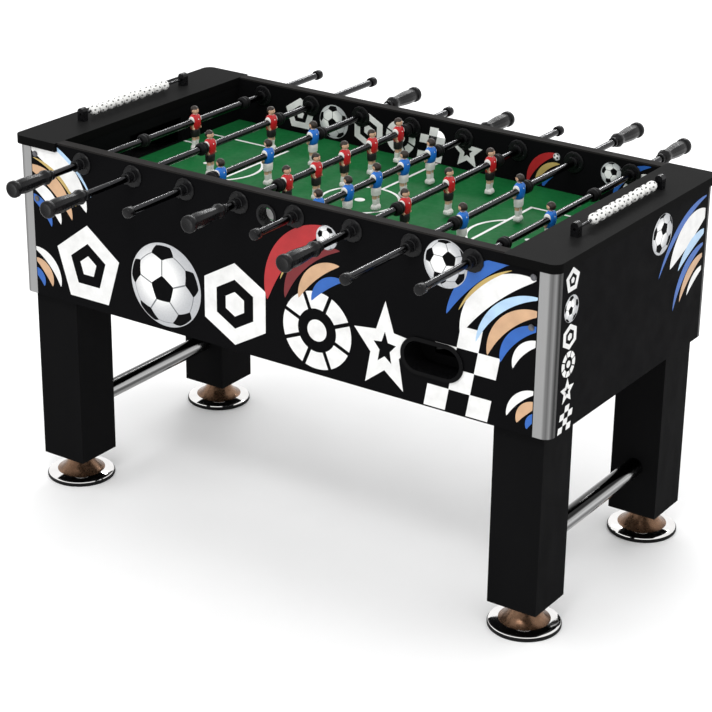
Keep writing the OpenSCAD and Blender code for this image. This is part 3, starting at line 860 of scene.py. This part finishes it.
def nested(cx, cy, w, h, corners, holes=(0.6, 0.3)):
    """A white outline with a white core: one shape drawn at three sizes. corners fit a unit box."""
    shapes = []
    for size, key in ((1.0, "white"), (holes[0], "black"), (holes[1], "white")):
        shapes.append(([(cx + x * w * size / 2, cy + y * h * size / 2) for x, y in corners], key))
    return shapes


HEXAGON = polygon(0, 0, 1, 6, 90, 1.12)
PENTAGON = polygon(0, 0, 1, 5, 90, 1.05)
STAR = star(0, 0, 1.05, 1.05)


def motif(kind, cx, cy, w, h):
    """White geometric graphics that fill a box of w by h around a centre."""
    if kind == "pentagon":
        return nested(cx, cy, w, h, PENTAGON, (0.56, 0.26))
    if kind == "hexagon":
        return nested(cx, cy, w, h, HEXAGON)
    if kind == "star":
        return nested(cx, cy, w, h, STAR, (0.36, 0.0))[:2]
    if kind == "ring":
        ring = ellipse(0, 0, 1, count=64)
        ticks = []
        for k in range(8):
            a = math.radians(45 * k + 22.5)
            ticks.append((line(cx + w * 0.3 * math.cos(a), cy + h * 0.3 * math.sin(a),
                               cx + w * 0.52 * math.cos(a), cy + h * 0.52 * math.sin(a),
                               w * 0.05), "black"))
        disc, *hub = nested(cx, cy, w, h, ring, (0.56, 0.28))
        return [disc] + ticks + hub
    shapes = []
    for i in range(3):
        for j in range(4):
            if (i + j) % 2 == 0:
                shapes.append((slanted(cx + (i - 1) * w * 0.31 + (j - 1.5) * w * 0.05, cy + (j - 1.5) * h / 4,
                                       w * 0.315, h / 4 * 1.01, w * 0.025), "white"))
    return shapes


def panel_side(x, y, z, way):
    """A place whose local X, Y, Z are along the panel, up, and out of it. way is -Y, +Y, +X or -X."""
    along = {"-Y": (1, 0, 0), "+Y": (-1, 0, 0), "+X": (0, 1, 0), "-X": (0, -1, 0)}[way]
    out = {"-Y": (0, -1, 0), "+Y": (0, 1, 0), "+X": (1, 0, 0), "-X": (-1, 0, 0)}[way]
    turn = Matrix((along, (0, 0, 1), out)).transposed().to_4x4()
    return Matrix.Translation((x, y, z)) @ turn


def both_ways(name, shapes, distance, way, cuts=()):
    """The same print on a side and, by half a turn about Z, on the opposite side."""
    place = panel_side(0, 0, 0, way)
    out = place.to_3x3() @ Vector((0, 0, 1))
    near = Matrix.Translation(out * distance * MM) @ place
    film(f"{name}_a", shapes, near, cuts)
    film(f"{name}_b", shapes, HALF_TURN @ near, cuts)


# the ball return cup's oval, where no print goes
CUP_X, CUP_Z, CUP_HALF, CUP_R = 424.0, 595.0, 35.0, 36.0
# how far a print and a ball on top of it stand off the panel
PRINT_OFF, BALL_OFF = 0.1, 0.5
cup_cut = stadium(CUP_X, CUP_Z, CUP_HALF, CUP_R + 2)

# arcs over each motif, as sweeps() takes them
left_bands = [(196, 20, 88, 52, "white"), (146, 16, 88, 34, "sand"), (108, 12, 86, 30, "white"),
              (78, 8, 86, 22, "blue"), (171, 26, 80, 9, "gold"), (226, 28, 84, 9, "pale_blue")]
left_tail = [(66, 4, 78, 22, "sand"), (92, 6, 84, 22, "white"), (40, 0, 84, 18, "blue")]
middle_bands = [(206, 100, 178, 48, "red"), (160, 96, 172, 30, "dark_red"), (126, 98, 166, 28, "sand"),
                (94, 94, 160, 24, "blue"), (182, 112, 160, 8, "gold")]
right_bands = [(250, 104, 160, 30, "blue"), (206, 98, 166, 48, "white"), (168, 94, 166, 20, "pale_blue"),
               (136, 92, 172, 30, "sand"), (104, 94, 174, 24, "blue"), (229, 112, 154, 8, "gold"),
               (74, 92, 176, 20, "white")]
right_tail = [(60, 96, 172, 22, "sand"), (86, 98, 168, 18, "white"), (36, 94, 180, 16, "blue")]
front_shapes = []
front_shapes += sweeps(-692, 652, left_bands, (-666, 640, -440, 862))
front_shapes += sweeps(-686, 510, left_tail, (-666, 500, -592, 640))
front_shapes += motif("pentagon", -508, 588, 184, 200)
front_shapes += motif("hexagon", -88, 596, 172, 192)
front_shapes += motif("ring", 132, 588, 178, 178)
front_shapes += motif("star", 306, 590, 156, 204)
front_shapes += motif("checker", 500, 588, 166, 196)
front_shapes += sweeps(206, 622, middle_bands, (-36, 560, 206, 846))
front_shapes += sweeps(690, 620, right_bands, (420, 610, 666, 842))
front_shapes += sweeps(690, 500, right_tail, (596, 496, 666, 610))
both_ways("side_print", front_shapes, PANEL_OUT + PRINT_OFF, "-Y", [cup_cut])
both_ways("side_ball_large", football_shapes(-281, 596, 99, (8, -6), 20), PANEL_OUT + BALL_OFF, "-Y")
both_ways("side_ball_small", football_shapes(156, 804, 27, (20, 12), 5), PANEL_OUT + BALL_OFF, "-Y")
both_ways("side_ball_middle", football_shapes(450, 812, 52, (-14, 10), 30), PANEL_OUT + BALL_OFF, "-Y")

wall_shapes = []
wall_shapes += motif("pentagon", -401, 806, 86, 84)
wall_shapes += motif("hexagon", -198, 803, 84, 86)
wall_shapes += motif("ring", -105, 803, 84, 84)
wall_shapes += motif("checker", -17, 803, 74, 84)
wall_shapes += motif("star", 82, 803, 84, 84)
wall_middle_bands = [(88, 96, 176, 20, "red"), (66, 94, 176, 14, "gold"), (46, 92, 178, 16, "blue")]
wall_right_bands = [(112, 100, 170, 16, "blue"), (90, 96, 172, 22, "white"), (64, 94, 172, 18, "sand")]
wall_shapes += sweeps(336, 756, wall_middle_bands, (234, 762, 336, 850))
wall_shapes += sweeps(582, 750, wall_right_bands, (460, 762, 584, 862))
both_ways("wall_print", wall_shapes, -PANEL_IN + PRINT_OFF, "+Y")
both_ways("wall_ball_large", football_shapes(-300, 806, 42, (8, -6), 20), -PANEL_IN + BALL_OFF, "+Y")
both_ways("wall_ball_small", football_shapes(322, 838, 9, (20, 12), 5), -PANEL_IN + BALL_OFF, "+Y")
both_ways("wall_ball_middle", football_shapes(466, 825, 28, (-14, 10), 30), -PANEL_IN + BALL_OFF, "+Y")


# end panels: a strip of the same graphics beside the front corner, a ball and a few arcs
END_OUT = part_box("right_end_panel")[1].x / MM
STRIP_Y = -285.0
STRIP_W, STRIP_H = 55, 56
end_bands = [(262, 92, 150, 18, "blue"), (222, 90, 142, 62, "white"), (180, 90, 138, 26, "pale_blue"),
             (150, 92, 168, 22, "blue"), (124, 92, 160, 24, "sand"), (94, 92, 150, 18, "white")]
end_shapes = []
for kind, z in (("pentagon", 816), ("hexagon", 694), ("ring", 634), ("star", 574), ("checker", 514)):
    end_shapes += motif(kind, STRIP_Y, z, STRIP_W, STRIP_H)
end_shapes += sweeps(330, 566, end_bands, (100, 560, 313, 840))
both_ways("end_print", end_shapes, END_OUT + PRINT_OFF, "+X")
both_ways("end_ball_small", football_shapes(STRIP_Y, 755, 29, (8, -6), 20), END_OUT + BALL_OFF, "+X")
both_ways("end_ball_large", football_shapes(105, 798, 46, (-14, 10), 30), END_OUT + BALL_OFF, "+X")


# ---------------------------------------------------------------- field markings

LINE = 7.0
FIELD_END = 589.0
FIELD_SIDE = 324.0
CIRCLE_R = 90.0
SPOT_R = 12.0
# each end: the large box, the small box, the penalty spot and the arc beside the large box
BOX_X, BOX_Y = 340.0, 187.0
SMALL_X, SMALL_Y = 500.0, 105.0
PENALTY_X, PENALTY_R = 440.0, 7.0
ARC_X, ARC_R, ARC_HALF = 405.0, 105.0, 52.0


def arc_band(cx, cy, r, start, end, w=LINE, count=40):
    angles = [math.radians(start + (end - start) * k / count) for k in range(count + 1)]
    out = [(cx + (r + w / 2) * math.cos(a), cy + (r + w / 2) * math.sin(a)) for a in angles]
    back = [(cx + (r - w / 2) * math.cos(a), cy + (r - w / 2) * math.sin(a)) for a in angles]
    return out + back[::-1]


marks = [line(0, s * CIRCLE_R, 0, s * FIELD_SIDE, LINE) for s in (-1, 1)]
marks.append(ellipse(0, 0, SPOT_R))
marks += [arc_band(0, 0, CIRCLE_R, 0, 180), arc_band(0, 0, CIRCLE_R, 180, 360)]
for s in (-1, 1):
    for x, y in ((BOX_X, BOX_Y), (SMALL_X, SMALL_Y)):
        marks += [
            line(s * x, -y, s * x, y, LINE),
            line(s * x, -y, s * FIELD_END, -y, LINE),
            line(s * x, y, s * FIELD_END, y, LINE),
        ]
    middle = 90 + s * 90
    marks += [
        ellipse(s * PENALTY_X, 0, PENALTY_R),
        arc_band(s * ARC_X, 0, ARC_R, middle - ARC_HALF, middle + ARC_HALF),
    ]
field_place = Matrix.Translation((0, 0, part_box("playfield")[1].z + 0.05 * MM))
film("field_lines", [(loop, "white") for loop in marks], field_place)


# ---------------------------------------------------------------- floor, light, camera


FLOOR_HALF = 9.0


def floor_piece():
    bm = bmesh.new()
    bmesh.ops.create_grid(bm, x_segments=4, y_segments=4, size=FLOOR_HALF)
    mesh = bpy.data.meshes.new("floor")
    bm.to_mesh(mesh)
    bm.free()
    mesh.materials.append(finish_material("floor_pale", (0.94, 0.94, 0.94), (0.91, 0.91, 0.91),
                                          (0.6, 0.75), patch=1.5, grain=60.0, bump=0.02))
    floor = bpy.data.objects.new("floor", mesh)
    SCENE.collection.objects.link(floor)


def area_light(name, place, target, size, power):
    """A rectangular lamp of the given size, turned toward its target."""
    data = bpy.data.lights.new(name, "AREA")
    data.shape = "RECTANGLE"
    data.size, data.size_y = size
    data.energy = power
    lamp = bpy.data.objects.new(name, data)
    SCENE.collection.objects.link(lamp)
    lamp.location = place
    lamp.rotation_euler = (Vector(target) - Vector(place)).to_track_quat("-Z", "Y").to_euler()


floor_piece()
world = bpy.data.worlds.new("studio")
world.use_nodes = True
world.node_tree.nodes["Background"].inputs["Color"].default_value = (1, 1, 1, 1)
world.node_tree.nodes["Background"].inputs["Strength"].default_value = 1.2
SCENE.world = world
SCENE.view_settings.view_transform = "Standard"
area_light("key", (0.5, -2.4, 3.4), (0, 0, 0.6), (1.8, 0.6), 40)
area_light("back", (-1.4, 3.8, 3.2), (0, 0, 0.8), (3.2, 0.14), 60)

CAMERA_PLACE = Vector((2.5853, -3.7996, 2.3520))
YAW, PITCH, ROLL = (math.radians(a) for a in (-32.837, -23.270, 1.272))
camera_data = bpy.data.cameras.new("camera")
camera_data.sensor_width = 36.0
camera_data.lens = 108.55
camera_data.shift_x = -0.07
camera = bpy.data.objects.new("camera", camera_data)
SCENE.collection.objects.link(camera)
forward = Vector((math.sin(YAW) * math.cos(PITCH), math.cos(YAW) * math.cos(PITCH), math.sin(PITCH)))
level = Vector((math.cos(YAW), -math.sin(YAW), 0))
upward = level.cross(forward)
right = math.cos(ROLL) * level + math.sin(ROLL) * upward
top = -math.sin(ROLL) * level + math.cos(ROLL) * upward
camera.matrix_world = Matrix.Translation(CAMERA_PLACE) @ Matrix((right, top, -forward)).transposed().to_4x4()
SCENE.camera = camera
